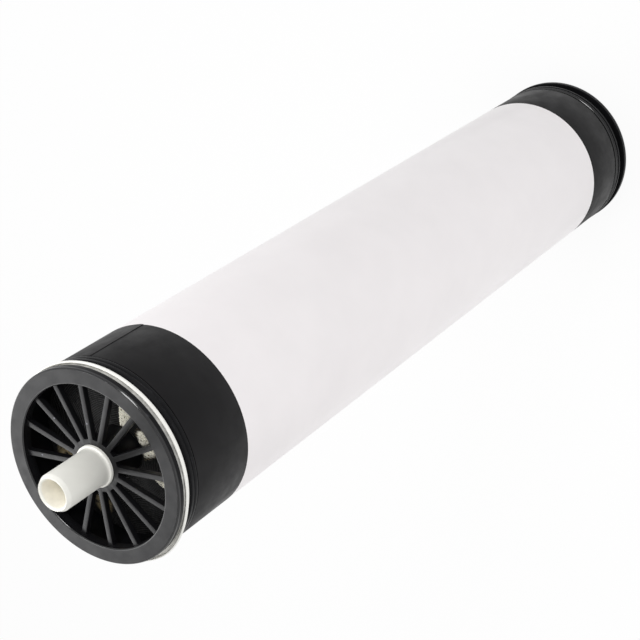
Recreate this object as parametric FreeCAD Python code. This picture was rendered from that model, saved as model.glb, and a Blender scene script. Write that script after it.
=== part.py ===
import FreeCAD, Part
import math
import os

# Spiral-wound nanofiltration membrane element, all sizes in millimetres.
# The axis is +Z. The element stands on the flange of its concentrate end cap at z = 0,
# and the feed end, with the spigot of the product tube, is at the top.

# Overall
length = 1016.0                 # from end cap face to end cap face
cap_radius = 100.5              # flange of each end cap, 201 mm across

# Layers round the roll
shell_inset = 2.0               # outside of the fibreglass, in from the flange
shell_wall = 2.7
lining_tape_wall = 0.4          # tape that closes the roll before the fibreglass
wrap_thickness = 0.5            # black end bands and white film
wrap_lap = 0.5                  # step where a wrap ends on its own first turn
glue_clearance = 0.1            # between parts that are bonded

# End caps, each width along the axis, from the outer face inwards
flange_thickness = 7.5
flange_bevel = 0.8
seal_groove_width = 11.1
seal_groove_depth = 7.0
rear_flange_thickness = 5.7
rear_flange_inset = 0.7
bead_gap = 0.9
bead_width = 5.8
bead_inset = 0.9
bead_crown = 1.0
neck_width = 5.0
neck_depth = 1.7                # below the outside of the fibreglass
spigot_engagement = 6.0         # of the cap in the bore of the fibreglass
skirt_wall = 6.2
grille_recess = 5.0
grille_thickness = 6.0
window_ledge = 5.5              # rim of the grille inside the skirt
window_corner = 1.2
window_edge_bevel = 0.8
spoke_count = 16
spoke_width = 5.2
spoke_phase = 11.25             # degrees from +X
hub_wall = 5.5                  # hub disc round the product tube
hub_sleeve_wall = 3.5

# Product tube
tube_radius = 21.4
tube_bore_radius = 14.3
tube_end_recess = 2.0           # concentrate end, behind the cap face
shoulder_rise = 3.0             # full diameter beyond the front of the hub
shoulder_round = 1.2
shoulder_fillet = 2.2
spigot_radius = 19.0
spigot_length = 55.0            # beyond the feed cap face
spigot_chamfer_length = 4.5
spigot_chamfer_depth = 1.9
spigot_tip_round = 0.7
bore_chamfer = 1.2
inlet_hole_radius = 1.6
inlet_hole_pitch = 116.0

# Roll
core_wrap_wall = 1.2
leaf_pitch = 10.0
leaf_gap = 2.6
leaf_gap_depth = 2.0

# Netting end that lies on the feed end of the roll
netting_hub_gap = 3.5           # from the sleeve of the hub
netting_edge_gap = 3.5          # from the skirt
netting_start = -160.0          # degrees from +X
netting_end = -44.0
netting_sheet = 0.6
netting_strand_width = 1.6
netting_strand_height = 0.8
netting_pitch = 9.5

# Brine seal
seal_side_clearance = 0.2
seal_lip_reach = 1.7            # beyond the flange
seal_lip_height = 7.6
seal_lip_wall = 1.6
seal_lip_nose = 0.8
seal_lip_root = 2.4             # wall of the lip at the floor of the cup
seal_lip_shoulder = 0.8         # outside of the lip there, in from its free edge
seal_heel_inset = 2.1
seal_heel_height = 3.0
seal_inner_wall = 4.6

# Wraps
feed_band_gap = 0.5             # behind the bead of the feed end cap
feed_band_width = 78.5
concentrate_band_width = 70.0
feed_seam_angle = -30.0         # degrees from +X
concentrate_seam_angle = -156.0
film_seam_angle = 110.0

# Worked out from the sizes above
shell_radius = cap_radius - shell_inset
shell_bore_radius = shell_radius - shell_wall
tape_radius = shell_bore_radius - glue_clearance
tape_bore_radius = tape_radius - lining_tape_wall
roll_radius = tape_bore_radius - glue_clearance
core_bore_radius = tube_radius + glue_clearance
core_radius = core_bore_radius + core_wrap_wall
hub_bore_radius = tube_radius + glue_clearance
hub_radius = hub_bore_radius + hub_wall
hub_sleeve_radius = hub_bore_radius + hub_sleeve_wall
seal_groove_radius = cap_radius - seal_groove_depth
seal_groove_end = flange_thickness + seal_groove_width
rear_flange_radius = cap_radius - rear_flange_inset
rear_flange_end = seal_groove_end + rear_flange_thickness
bead_radius = cap_radius - bead_inset
bead_root_radius = shell_radius - glue_clearance
bead_start = rear_flange_end + bead_gap
bead_end = bead_start + bead_width
neck_radius = shell_radius - neck_depth
neck_end = bead_end + neck_width
cap_spigot_radius = shell_bore_radius - glue_clearance
cap_depth = neck_end + spigot_engagement
skirt_bore_radius = cap_spigot_radius - skirt_wall
window_radius = skirt_bore_radius - window_ledge
grille_back = grille_recess + grille_thickness
roll_bottom = cap_depth
roll_length = length - 2 * cap_depth
roll_top = roll_bottom + roll_length
tube_top = length + spigot_length
shoulder_top = length - grille_recess + shoulder_rise
netting_inner_radius = hub_sleeve_radius + netting_hub_gap
netting_outer_radius = skirt_bore_radius - netting_edge_gap
feed_band_start = bead_end + feed_band_gap
feed_band_bottom = length - feed_band_start - feed_band_width
film_bottom = neck_end + concentrate_band_width


def revolve(outline):
    """Turn a closed (radius, height) outline about the axis into a solid."""
    points = [FreeCAD.Vector(radius, 0, height) for radius, height in outline]
    face = Part.Face(Part.makePolygon(points + points[:1]))
    return face.revolve(FreeCAD.Vector(0, 0, 0), FreeCAD.Vector(0, 0, 1), 360)


def ring(inner, outer, bottom, height):
    """A plain tube section."""
    base = FreeCAD.Vector(0, 0, bottom)
    return Part.makeCylinder(outer, height, base).cut(Part.makeCylinder(inner, height, base))


def turned(shape, angle):
    """The shape turned about the element's axis by an angle in degrees."""
    copy = shape.copy()
    copy.rotate(FreeCAD.Vector(0, 0, 0), FreeCAD.Vector(0, 0, 1), angle)
    return copy


def at_feed_end(shape):
    """An end cap or its like, turned end for end and set at the feed end."""
    copy = shape.copy()
    copy.rotate(FreeCAD.Vector(0, 0, 0), FreeCAD.Vector(1, 0, 0), 180)
    copy.translate(FreeCAD.Vector(0, 0, length))
    return copy


def window_cutter():
    """One opening between two spokes, with rounded corners."""
    half_width = spoke_width / 2
    step = math.radians(360 / spoke_count)

    def corner(radius, side):
        offset = math.asin(half_width / radius)
        angle = offset if side < 0 else step - offset
        return FreeCAD.Vector(radius * math.cos(angle), radius * math.sin(angle), grille_recess)

    def middle(radius):
        angle = step / 2
        return FreeCAD.Vector(radius * math.cos(angle), radius * math.sin(angle), grille_recess)

    edges = [
        Part.makeLine(corner(hub_radius, -1), corner(window_radius, -1)),
        Part.Arc(corner(window_radius, -1), middle(window_radius), corner(window_radius, 1)).toShape(),
        Part.makeLine(corner(window_radius, 1), corner(hub_radius, 1)),
        Part.Arc(corner(hub_radius, 1), middle(hub_radius), corner(hub_radius, -1)).toShape(),
    ]
    block = Part.Face(Part.Wire(edges)).extrude(FreeCAD.Vector(0, 0, grille_thickness))
    upright = [edge for edge in block.Edges if abs(edge.Vertexes[0].Z - edge.Vertexes[-1].Z) > 1]
    return block.makeFillet(window_corner, upright)


def grille():
    """Hub disc, spokes and rim of the cap in one plate, with its windows cut."""
    plate = ring(hub_bore_radius, skirt_bore_radius + 1, grille_recess, grille_thickness)
    window = window_cutter()
    windows = [turned(window, spoke_phase + 360 / spoke_count * index) for index in range(spoke_count)]
    return plate.cut(Part.makeCompound(windows))


def cap_wall():
    """Flange, seal groove, rear flange, bead, neck and spigot of the cap, in section."""
    outline = [
        (window_radius + window_edge_bevel, 0),
        (cap_radius - flange_bevel, 0),
        (cap_radius, flange_bevel),
        (cap_radius, flange_thickness),
        (seal_groove_radius, flange_thickness),
        (seal_groove_radius, seal_groove_end),
        (rear_flange_radius, seal_groove_end),
        (rear_flange_radius, rear_flange_end),
        (bead_root_radius, rear_flange_end),
        (bead_root_radius, bead_start),
        (bead_radius, bead_start + bead_crown),
        (bead_radius, bead_end - bead_crown),
        (bead_root_radius, bead_end),
        (neck_radius, bead_end),
        (neck_radius, neck_end),
        (cap_spigot_radius, neck_end),
        (cap_spigot_radius, cap_depth),
        (skirt_bore_radius, cap_depth),
        (skirt_bore_radius, grille_back),
        (window_radius, grille_back),
        (window_radius, window_edge_bevel),
    ]
    return revolve(outline)


def end_cap():
    """Anti-telescoping cap, outer face at z = 0 and roll side up."""
    sleeve = ring(hub_bore_radius, hub_sleeve_radius, grille_back, cap_depth - grille_back)
    return cap_wall().fuse([grille(), sleeve]).removeSplitter()


def brine_seal():
    """Cup seal in the groove of the feed end cap, its mouth towards the feed."""
    floor = seal_groove_radius + seal_side_clearance
    heel = seal_groove_end - seal_side_clearance
    mouth = flange_thickness + seal_side_clearance
    cup_floor = heel - seal_heel_height
    lip_edge = heel - seal_lip_height
    heel_radius = cap_radius - seal_heel_inset
    lip_radius = cap_radius + seal_lip_reach
    shoulder_radius = lip_radius - seal_lip_shoulder
    outline = [
        (floor, heel),
        (heel_radius, heel),
        (shoulder_radius, cup_floor),
        (lip_radius, lip_edge + seal_lip_nose),
        (lip_radius - seal_lip_wall, lip_edge),
        (shoulder_radius - seal_lip_root, cup_floor),
        (floor + seal_inner_wall, cup_floor),
        (floor + seal_inner_wall, mouth),
        (floor, mouth),
    ]
    return at_feed_end(revolve(outline))


def product_tube():
    """Perforated tube: socket end down, shoulder and turned spigot at the feed end."""
    chamfer_bottom = tube_top - spigot_chamfer_length
    outline = [
        (tube_bore_radius + bore_chamfer, tube_end_recess),
        (tube_radius, tube_end_recess),
        (tube_radius, shoulder_top - shoulder_round),
        (tube_radius - shoulder_round, shoulder_top),
        (spigot_radius + shoulder_fillet / 4, shoulder_top + shoulder_fillet / 2),
        (spigot_radius, shoulder_top + shoulder_fillet * 1.5),
        (spigot_radius, chamfer_bottom),
        (spigot_radius - spigot_chamfer_depth, tube_top - spigot_tip_round),
        (spigot_radius - spigot_chamfer_depth - spigot_tip_round, tube_top),
        (tube_bore_radius + bore_chamfer, tube_top),
        (tube_bore_radius, tube_top - bore_chamfer),
        (tube_bore_radius, tube_end_recess + bore_chamfer),
    ]
    tube = revolve(outline)
    return tube.cut(Part.makeCompound(inlet_hole_drills()))


def inlet_hole_drills():
    """Drills through both walls of the tube, a quarter turn on at each step."""
    first = roll_bottom + inlet_hole_pitch / 2
    count = int((roll_length - inlet_hole_pitch / 2) // inlet_hole_pitch)
    drills = []
    for index in range(count):
        drill = Part.makeCylinder(
            inlet_hole_radius,
            2 * tube_radius + 2,
            FreeCAD.Vector(-tube_radius - 1, 0, first + index * inlet_hole_pitch),
            FreeCAD.Vector(1, 0, 0),
        )
        drills.append(turned(drill, 90 * (index % 2)))
    return drills


def spiral_band(first_radius, width, turns, pitch):
    """Flat spiral strip, each half turn an arc about one of two centres."""

    def half_turns(start_radius):
        arcs = []
        radius = start_radius
        for index in range(2 * turns):
            upper = index % 2 == 0
            centre = -pitch / 4 if upper else pitch / 4
            side = 1 if upper else -1
            start = FreeCAD.Vector(centre + side * radius, 0, 0)
            top = FreeCAD.Vector(centre, side * radius, 0)
            end = FreeCAD.Vector(centre - side * radius, 0, 0)
            arcs.append(Part.Arc(start, top, end).toShape())
            radius += pitch / 2
        return arcs, end

    inner, inner_end = half_turns(first_radius)
    outer, outer_end = half_turns(first_radius + width)
    inner_start = inner[0].valueAt(inner[0].FirstParameter)
    outer_start = outer[0].valueAt(outer[0].FirstParameter)
    edges = inner + [Part.makeLine(inner_end, outer_end)] + outer[::-1]
    edges.append(Part.makeLine(outer_start, inner_start))
    return Part.Face(Part.Wire(edges))


def membrane_roll():
    """The wound leaves as one solid, with the gap between the turns open at both ends."""
    roll = ring(core_radius + glue_clearance, roll_radius, roll_bottom, roll_length)
    first_radius = hub_sleeve_radius + leaf_pitch / 2
    turns = int((roll_radius - leaf_gap - first_radius) // leaf_pitch)
    gap = spiral_band(first_radius, leaf_gap, turns, leaf_pitch)
    gap = gap.extrude(FreeCAD.Vector(0, 0, leaf_gap_depth))
    lower = gap.copy()
    lower.translate(FreeCAD.Vector(0, 0, roll_bottom))
    upper = gap.copy()
    upper.translate(FreeCAD.Vector(0, 0, roll_top - leaf_gap_depth))
    return roll.cut(lower).cut(upper)


def netting_sector(bottom, height):
    """Plain block with the outline of the netting end."""
    block = Part.makeCylinder(
        netting_outer_radius,
        height,
        FreeCAD.Vector(0, 0, bottom),
        FreeCAD.Vector(0, 0, 1),
        netting_end - netting_start,
    )
    block = turned(block, netting_start)
    return block.cut(Part.makeCylinder(netting_inner_radius, height, FreeCAD.Vector(0, 0, bottom)))


def netting_end_piece():
    """Loose end of the outermost feed spacer, folded on to the roll, with crossing strands."""
    sheet = netting_sector(roll_top, netting_sheet)
    sheet_top = roll_top + netting_sheet
    half_count = int(netting_outer_radius // netting_pitch)
    strands = []
    for index in range(-half_count, half_count + 1):
        strand = Part.makeBox(
            2 * netting_outer_radius,
            netting_strand_width,
            netting_strand_height,
            FreeCAD.Vector(-netting_outer_radius, index * netting_pitch - netting_strand_width / 2, sheet_top),
        )
        strands.append(strand)
    comb = Part.makeCompound(strands)
    outline = netting_sector(sheet_top, netting_strand_height)
    middle_angle = (netting_start + netting_end) / 2
    lay = [turned(comb, middle_angle + side * 45).common(outline) for side in (-1, 1)]
    return sheet.fuse(lay).removeSplitter()


def wrap(bottom, height, seam_angle):
    """One turn of film or tape on the shell, whose end lies on its start in a small step."""
    inner = shell_radius + glue_clearance
    outer = inner + wrap_thickness
    shift = wrap_lap / 2
    right = FreeCAD.Vector(outer, 0, bottom)
    top = FreeCAD.Vector(0, outer, bottom)
    left = FreeCAD.Vector(-outer, 0, bottom)
    low = FreeCAD.Vector(shift, -outer - shift, bottom)
    lap = FreeCAD.Vector(outer + wrap_lap, 0, bottom)
    edges = [
        Part.Arc(right, top, left).toShape(),
        Part.Arc(left, low, lap).toShape(),
        Part.makeLine(lap, right),
    ]
    block = Part.Face(Part.Wire(edges)).extrude(FreeCAD.Vector(0, 0, height))
    block = block.cut(Part.makeCylinder(inner, height, FreeCAD.Vector(0, 0, bottom)))
    return turned(block, seam_angle)


def feed_end_band():
    """Black band over the feed end of the shell, up to the bead of its cap."""
    return wrap(feed_band_bottom, feed_band_width, feed_seam_angle)


def concentrate_end_band():
    """Black band over the concentrate end of the shell."""
    return wrap(neck_end, concentrate_band_width, concentrate_seam_angle)


def white_film():
    """White film over the shell between the bands."""
    return wrap(film_bottom, feed_band_bottom - film_bottom, film_seam_angle)


def fibreglass_shell():
    """Wound shell over the taped roll and both spigots, and over the neck of the feed end cap."""
    feed_edge = feed_band_bottom + feed_band_width
    step = length - neck_end
    step_radius = neck_radius + glue_clearance
    outline = [
        (shell_bore_radius, neck_end),
        (shell_radius, neck_end),
        (shell_radius, feed_edge),
        (step_radius, feed_edge),
        (step_radius, step),
        (shell_bore_radius, step),
    ]
    return revolve(outline)


def lining_tape():
    """Tape that holds the wound roll shut under the shell."""
    return ring(tape_bore_radius, tape_radius, roll_bottom, roll_length)


def core_wrap():
    """First turns of permeate carrier, round the tube and over its inlet holes."""
    return ring(core_bore_radius, core_radius, roll_bottom, roll_length)


pieces = {
    "product_tube": product_tube(),
    "core_wrap": core_wrap(),
    "membrane_roll": membrane_roll(),
    "feed_spacer_end": netting_end_piece(),
    "lining_tape": lining_tape(),
    "fibreglass_shell": fibreglass_shell(),
    "white_film": white_film(),
    "feed_end_band": feed_end_band(),
    "concentrate_end_band": concentrate_end_band(),
    "feed_end_cap": at_feed_end(end_cap()),
    "concentrate_end_cap": end_cap(),
    "brine_seal": brine_seal(),
}

os.makedirs("parts", exist_ok=True)
for name, shape in pieces.items():
    solid = shape.Solids[0] if len(shape.Solids) == 1 else shape
    print(name, len(shape.Solids), shape.isValid(), round(shape.Volume), len(shape.Faces))
    solid.exportStep("parts/" + name + ".step")
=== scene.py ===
import math

import bmesh
import bpy
from mathutils import Euler, Matrix, Vector, noise


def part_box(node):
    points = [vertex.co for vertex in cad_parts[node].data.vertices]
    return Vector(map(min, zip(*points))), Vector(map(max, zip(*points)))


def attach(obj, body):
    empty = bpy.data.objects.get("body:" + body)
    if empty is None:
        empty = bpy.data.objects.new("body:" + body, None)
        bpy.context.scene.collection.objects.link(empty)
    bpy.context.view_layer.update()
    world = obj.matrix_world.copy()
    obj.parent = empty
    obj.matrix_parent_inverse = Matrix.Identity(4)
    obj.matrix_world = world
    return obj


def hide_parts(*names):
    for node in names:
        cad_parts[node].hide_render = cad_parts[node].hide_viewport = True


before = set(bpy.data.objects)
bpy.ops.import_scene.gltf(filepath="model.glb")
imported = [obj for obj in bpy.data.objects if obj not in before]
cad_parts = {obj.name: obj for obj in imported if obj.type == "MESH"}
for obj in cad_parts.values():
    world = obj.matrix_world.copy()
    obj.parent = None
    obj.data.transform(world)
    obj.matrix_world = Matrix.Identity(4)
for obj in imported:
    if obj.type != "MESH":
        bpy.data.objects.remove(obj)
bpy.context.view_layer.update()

bl_info = {
    "name": "Spiral-wound membrane element",
    "version": (1, 0, 0),
    "blender": (4, 5, 0),
    "location": "3D View > Sidebar > Membrane element",
    "description": "Dresses the solids of a nanofiltration membrane element with fine meshes and finishes",
    "category": "Add Mesh",
}

MM = 0.001

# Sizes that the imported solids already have
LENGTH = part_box("feed_end_cap")[1].z
CAP_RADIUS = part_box("feed_end_cap")[1].x
CAP_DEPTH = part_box("concentrate_end_cap")[1].z
ROLL_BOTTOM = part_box("membrane_roll")[0].z
ROLL_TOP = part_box("membrane_roll")[1].z
ROLL_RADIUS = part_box("membrane_roll")[1].x
CORE_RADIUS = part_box("core_wrap")[1].x
SHELL_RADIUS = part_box("fibreglass_shell")[1].x
SEAL_LOW, SEAL_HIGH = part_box("brine_seal")
TUBE_LOW, TUBE_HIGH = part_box("product_tube")
NETTING_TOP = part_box("feed_spacer_end")[1].z

# How finely round things are drawn
LATHE_SEGMENTS = 224
CORNER_STEPS = 3
WINDOW_ARC_STEPS = 12
FILLET_STEPS = 6
STRAND_SIDES = 6
HOLE_SEGMENTS = 20
ROLL_STEPS_PER_TURN = 160
NETTING_STEPS = 120

# A rounded corner takes at most this share of each side next to it
CORNER_SHARE = 0.45

# Pale nicks in the spokes at the feed end, partly wear and partly painted glints: angle in degrees and
# distance from the axis in millimetres
GLINT_NICKS = ((-33, 43), (10, 59), (56, 66))

# How far from its middle a nick has faded out, and how far it is full, in millimetres
GLINT_NICK_REACHES = (1.2, 0.5)

# Light painted on one side of the leaf edges, and brown patches on them: angle in degrees, then radius, outer
# reach and inner reach in millimetres
PAINTED_LIGHT_SIDE = (-8, 60, 52, 24)
BROWN_PATCHES = ((68, 74, 12, 4), (118, 74, 12, 4))

# The seal's free lip, from the heel over its edge and down its inside, in millimetres: how far in from the
# lip's reach, and how far before the heel
LIP_SECTION = (
    (5.6, 0), (3.6, 0.9), (1.8, 2.1), (0.6, 3.5), (0, 5.2),
    (0.1, 6.4), (0.7, 7.3), (1.3, 7.6), (1.8, 6.8), (1.9, 3.0),
)

# The spigot's rounded tip, in millimetres: how far in from the end of the chamfer, and how far below the tip
TIP_SECTION = ((-0.15, 1.0), (0.1, 0.45), (0.6, 0))

# One turn of leaf edge: share of the pitch, and how deep in the open channel it lies, from 0 to 1
LEAF_PROFILE = ((0.0, 0), (0.38, 0), (0.46, 1), (0.92, 1))

# How far the strands of the netting run on past a patch painted as lit, in millimetres
STRAND_MARGIN = 4

# Patches of the netting end painted as lit, with painted shade between them: angle in degrees, radius and
# reach in millimetres
LIT_NETTING_SPOTS = (
    (-51, 41, 8), (-50, 31, 6), (-46, 26, 3), (-93, 35, 5), (-100, 34, 5),
    (-118, 37, 5), (-123, 33, 4), (-160, 47, 5), (-158, 54, 4),
)


def linear(hex_colour):
    """An sRGB hex colour as linear red, green, blue and alpha."""
    channels = [int(hex_colour[start:start + 2], 16) / 255 for start in (1, 3, 5)]
    values = [c / 12.92 if c <= 0.04045 else ((c + 0.055) / 1.055) ** 2.4 for c in channels]
    return (*values, 1.0)


def metre_property(name, description, metres):
    """A length that the panel shows in the scene's units."""
    return bpy.props.FloatProperty(
        name=name, description=description, default=metres, unit="LENGTH", precision=5
    )


def length_property(name, description, millimetres):
    """A length written in millimetres."""
    return metre_property(name, description, millimetres * MM)


def angle_property(name, description, degrees):
    """An angle about the element's axis, from +X."""
    return bpy.props.FloatProperty(
        name=name, description=description, default=math.radians(degrees), unit="ROTATION"
    )


def colour_property(name, description, hex_colour):
    """A colour written as sRGB hex."""
    return bpy.props.FloatVectorProperty(
        name=name, description=description, default=linear(hex_colour), size=4, subtype="COLOR", min=0, max=1
    )


def place_property(name, description, metres):
    """A place, or the way from one place to another."""
    return bpy.props.FloatVectorProperty(
        name=name, description=description, default=metres, subtype="TRANSLATION", unit="LENGTH"
    )


def strength_property(name, description, value):
    """A lamp's power in watts, or the strength of the sky."""
    return bpy.props.FloatProperty(name=name, description=description, default=value, min=0)


class ElementSizes(bpy.types.PropertyGroup):
    """Sizes of the element's visible pieces."""

    cap_radius: metre_property("Cap radius", "Flange of each end cap", CAP_RADIUS)
    flange_thickness: length_property("Flange", "Thickness of the front flange", 7.5)
    groove_end: length_property("Groove end", "Depth at which the seal groove ends", 18.6)
    groove_radius: length_property("Groove radius", "Floor of the seal groove", 93.5)
    rear_flange_radius: length_property("Rear flange", "Radius of the flange behind the groove", 99.8)
    rear_flange_end: length_property("Rear flange end", "Depth at which the rear flange ends", 24.3)
    bead_start: length_property("Bead start", "Depth at which the bead starts", 25.2)
    bead_end: length_property("Bead end", "Depth at which the bead ends", 31.0)
    bead_radius: length_property("Bead radius", "Crown of the bead", 99.6)
    neck_end: length_property("Neck end", "Depth at which the fibreglass starts", 36.0)
    neck_radius: length_property("Neck radius", "Neck behind the bead", 96.8)
    cap_spigot_radius: length_property("Cap spigot", "Part of the cap inside the fibreglass", 95.7)
    skirt_bore_radius: length_property("Skirt bore", "Inside of the cap behind the grille", 89.5)
    grille_recess: length_property("Grille recess", "Depth of the spokes behind the flange", 5.0)
    grille_thickness: length_property("Grille thickness", "Thickness of spokes and hub", 6.0)
    grille_edge: length_property("Grille edge", "Rounding along the front edges of the spokes", 0.45)
    window_radius: length_property("Window radius", "Outer end of the windows", 84.0)
    window_corner: length_property("Window corner", "Fillet in the corners of the windows", 1.2)
    window_ledge_bevel: length_property("Ledge bevel", "Bevel from the flange down to the windows", 1.0)
    hub_radius: length_property("Hub radius", "Disc round the product tube", 27.0)
    hub_bore_radius: length_property("Hub bore", "Hole for the product tube", 21.5)
    hub_sleeve_radius: length_property("Hub sleeve", "Sleeve behind the hub", 25.0)
    spoke_width: length_property("Spoke width", "Width of one spoke", 5.2)
    spoke_count: bpy.props.IntProperty(name="Spokes", description="Number of spokes", default=16, min=3)
    spoke_phase: angle_property("Spoke phase", "Angle of the first spoke", 11.25)
    edge_round: length_property("Moulded edge", "Rounding of the moulded edges", 0.3)
    flange_bevel: length_property("Flange bevel", "Bevel round the front of the flange", 1.2)
    seal_leg: length_property("Seal leg", "Thickness of the brine seal's inner leg", 5.2)
    lip_set: length_property("Lip set", "How far the free lip is flattened on one side", 1.2)
    lip_set_at: angle_property("Lip set at", "Direction of the flattened side of the lip", -165.0)
    lip_flare: length_property("Lip flare", "How far the free lip has been pulled out in one place", 4.8)
    lip_flare_at: angle_property("Lip flare at", "Direction of the pulled place", -178.0)
    lip_flare_reach: angle_property("Lip flare reach", "From the middle of that place to its ends", 42.0)

    tube_radius: metre_property("Tube radius", "Full diameter of the product tube, halved", TUBE_HIGH.x)
    spigot_radius: length_property("Spigot radius", "Turned end of the product tube", 19.0)
    bore_radius: length_property("Bore radius", "Inside of the product tube", 14.3)
    bore_chamfer: length_property("Bore chamfer", "Chamfer at both ends of the bore", 2.4)
    shoulder_height: length_property("Shoulder height", "Full diameter beyond the hub", 3.0)
    shoulder_fillet: length_property("Shoulder fillet", "Hollow between the shoulder and the spigot", 3.6)
    spigot_chamfer_length: length_property("Chamfer length", "Lead-in chamfer of the spigot", 4.5)
    spigot_chamfer_depth: length_property("Chamfer depth", "Depth of the lead-in chamfer", 1.9)
    inlet_hole_radius: length_property("Inlet hole", "Radius of the holes under the core wrap", 1.6)
    inlet_hole_pitch: length_property("Inlet pitch", "Step between the inlet holes", 116.0)

    wrap_thickness: length_property("Wrap", "Thickness of the film and of the bands", 0.5)
    wrap_lap: length_property("Lap", "Step where a wrap ends on itself", 0.5)
    lap_angle: angle_property("Lap angle", "Stretch over which a lap comes down to the first turn", 9.0)
    glue_gap: length_property("Glue gap", "Between the shell and the wraps", 0.1)
    feed_seam: angle_property("Feed seam", "Lap of the feed end band", -30.0)
    concentrate_seam: angle_property("Concentrate seam", "Lap of the concentrate end band", -156.0)
    film_seam: angle_property("Film seam", "Lap of the white film", 110.0)

    leaf_pitch: length_property("Leaf pitch", "Radial step from one turn of the roll to the next", 1.9)
    leaf_gap_depth: length_property("Leaf gap depth", "Depth of the open feed channel between the turns", 1.3)
    netting_inner_radius: length_property("Netting inside", "Inner edge of the netting end", 28.5)
    netting_outer_radius: length_property("Netting outside", "Outer edge of the netting end", 86.0)
    netting_start: angle_property("Netting start", "First edge of the netting end", -160.0)
    netting_end: angle_property("Netting end", "Last edge of the netting end", -44.0)
    netting_pitch: length_property("Netting pitch", "Step between the strands", 2.8)
    strand_radius: length_property("Strand radius", "Half the thickness of a strand", 0.48)


class ElementColours(bpy.types.PropertyGroup):
    """Colours of the element's finishes."""

    tube: colour_property("Product tube", "White ABS", "#ecebe4")
    # A painted cream that stands for light bounced inside the bore, which is the same white ABS.
    bore: colour_property("Tube bore", "Cream inside of the product tube", "#f4f0e4")
    cap: colour_property("End caps", "Dark grey glass-filled plastic", "#131315")
    tape: colour_property("Bands", "Black vinyl tape", "#0d0c0e")
    film: colour_property("Film", "White wrapping film", "#f2eeef")
    seal: colour_property("Brine seal", "Off-white moulded rubber", "#f8f7f2")
    # The leaf edges are cream; this near black is painted shade, as the roll's face lies in shadow behind the
    # grille.
    leaf: colour_property("Leaf edges", "Dark trimmed edges of the leaves", "#1d1d1d")
    # Brown of the patches on the leaf edges; its dark tints also paint the shade between the netting's lit
    # patches, and the flecks of its sheet.
    glue: colour_property("Glue stain", "Brown glue line on the leaf edges", "#a99a78")
    netting: colour_property("Netting", "Cream polypropylene", "#fffcee")
    carrier: colour_property("Carrier", "Resin-stiffened polyester knit", "#d6cdb4")
    lining: colour_property("Lining tape", "Amber film tape", "#c8b78a")
    resin: colour_property("Fibreglass", "Glass and epoxy", "#cbbf93")
    floor: colour_property("Floor", "Plain pale floor", "#f4f4f4")


class StageSettings(bpy.types.PropertyGroup):
    """Camera and light."""

    lens: bpy.props.FloatProperty(name="Lens", description="Focal length in millimetres", default=90.31)
    camera_place: place_property("Camera place", "Where the camera stands", (-0.0057, -1.1548, 1.9775))
    camera_turn: bpy.props.FloatVectorProperty(
        name="Camera turn", description="Rotation of the camera",
        default=(math.radians(-25.774), math.radians(32.53), math.radians(-131.923)), subtype="EULER",
    )
    key_from: place_property("Key place", "From the element's middle to the key", (0.7616, -0.9537, 1.6422))
    key_size: metre_property("Key size", "Side of the key", 0.45)
    key_power: strength_property("Key", "Soft light from the upper left", 8.0)
    sheen_from: place_property("Sheen place", "From the feed face to the panel", (0.192, 1.08, 0.624))
    sheen_size: metre_property("Sheen size", "Side of the panel that the feed end reflects", 0.8)
    sheen_power: strength_property("Sheen", "Panel beyond the feed end", 6.2)
    side_from: place_property("Side place", "From the feed face to the side lamp", (0.42, 0.16, 0.62))
    side_aim: length_property("Side aim", "How far beyond the feed face the side lamp points", 30.0)
    side_size: metre_property("Side size", "Side of that lamp", 0.3)
    side_power: strength_property("Side", "Lamp beside the feed end", 2.2)
    fill_from: place_property("Fill place", "From the element's middle to the fill", (-1.56, -0.9, 0.22))
    fill_size: metre_property("Fill size", "Side of the fill", 1.0)
    fill_power: strength_property("Fill", "Wide lamp on the right", 4.4)
    sky: strength_property("Sky", "Even light from all round", 0.73)


# Meshes


def rounded(outline, radius, steps=CORNER_STEPS):
    """The closed outline with each corner drawn as a short curve."""
    points = []
    count = len(outline)
    for index in range(count):
        corner = Vector(outline[index])
        before = Vector(outline[index - 1]) - corner
        after = Vector(outline[(index + 1) % count]) - corner
        start = corner + before.normalized() * min(radius, before.length * CORNER_SHARE)
        end = corner + after.normalized() * min(radius, after.length * CORNER_SHARE)
        for step in range(steps + 1):
            share = step / steps
            points.append(start * (1 - share) ** 2 + corner * 2 * share * (1 - share) + end * share ** 2)
    return points


def outwards(angle):
    """The direction away from the axis at an angle."""
    return Vector((math.cos(angle), math.sin(angle), 0))


def spot_at(degrees, millimetres, height=0):
    """The point at an angle and a distance from the axis."""
    direction = math.radians(degrees)
    return Vector((millimetres * MM * math.cos(direction), millimetres * MM * math.sin(direction), height))


def circle(radius, height, segments=LATHE_SEGMENTS):
    """Points round the axis at one height."""
    step = 2 * math.pi / segments
    return [
        Vector((radius * math.cos(index * step), radius * math.sin(index * step), height))
        for index in range(segments)
    ]


def skin(build, loops, closed=True):
    """Quads between loops of equal length, from each loop to the next."""
    rows = [[build.verts.new(point) for point in loop] for loop in loops]
    following = rows[1:] + rows[:1] if closed else rows[1:]
    for first, second in zip(rows, following):
        size = len(first)
        for index in range(size):
            after = (index + 1) % size
            build.faces.new((first[index], first[after], second[after], second[index]))
    return rows


def skin_with_ends(build, loops):
    """Quads between the loops, and a face over the first loop and the last."""
    rows = skin(build, loops, closed=False)
    build.faces.new(rows[0])
    build.faces.new(rows[-1])


def lathe(build, outline, segments=LATHE_SEGMENTS):
    """Turn a closed (radius, height) outline about the axis."""
    skin(build, [circle(radius, height, segments) for radius, height in outline])


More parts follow.
